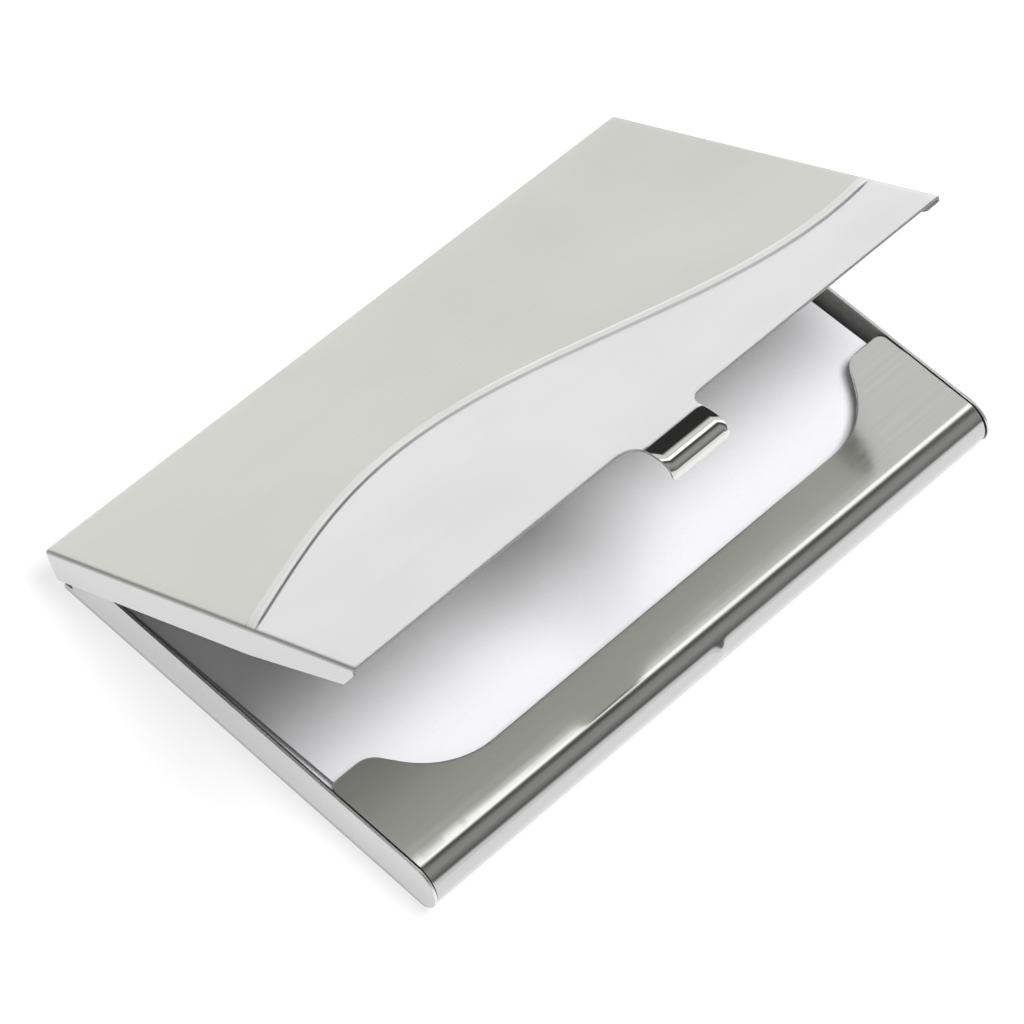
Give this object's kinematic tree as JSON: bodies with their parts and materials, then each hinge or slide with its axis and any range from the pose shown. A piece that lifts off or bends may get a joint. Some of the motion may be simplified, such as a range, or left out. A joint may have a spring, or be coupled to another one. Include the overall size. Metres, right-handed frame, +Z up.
{
  "type": "business card case",
  "caption": "Slim metal card case: rolled-nose tray with a scooped lip, hinged lid with a wave bead and curled thumb tab, holding a stack of cards.",
  "frame": {"origin": "middle of the object's footprint, on the plane it rests on, with the lid as stored", "axes": "+X along the case, the rolled nose and the lid's tab face -Y, the hinge is at +Y, +Z up out of the tray floor"},
  "size_m": [0.0952, 0.0624, 0.0368],
  "materials": {
    "base_steel": "bright polished stainless steel",
    "lid_steel": "fine satin stainless steel with a polished tab",
    "stud_steel": "plain stainless steel",
    "card_stock": "smooth white card"
  },
  "bodies": {
    "tray": {"base_shell": "base_steel"},
    "lid": {"lid_shell": "lid_steel", "hinge_stud_left": "stud_steel", "hinge_stud_right": "stud_steel"},
    "cards": {"card_01": "card_stock", "card_02": "card_stock", "card_03": "card_stock", "card_04": "card_stock", "card_05": "card_stock", "card_06": "card_stock", "card_07": "card_stock", "card_08": "card_stock", "card_09": "card_stock", "card_10": "card_stock", "card_11": "card_stock", "card_12": "card_stock"}
  },
  "joints": [
    {"name": "lid_hinge", "type": "hinge", "parent": "tray", "child": "lid", "pos_m": [0, 0.02809, 0.0038], "axis": [-1, 0, 0], "range_deg": [-31.2, 58.8]},
    {"name": "card_play", "type": "slide", "parent": "tray", "child": "cards", "axis": [1, 0, 0], "range_m": [-0.0008, 0.0008]}
  ]
}
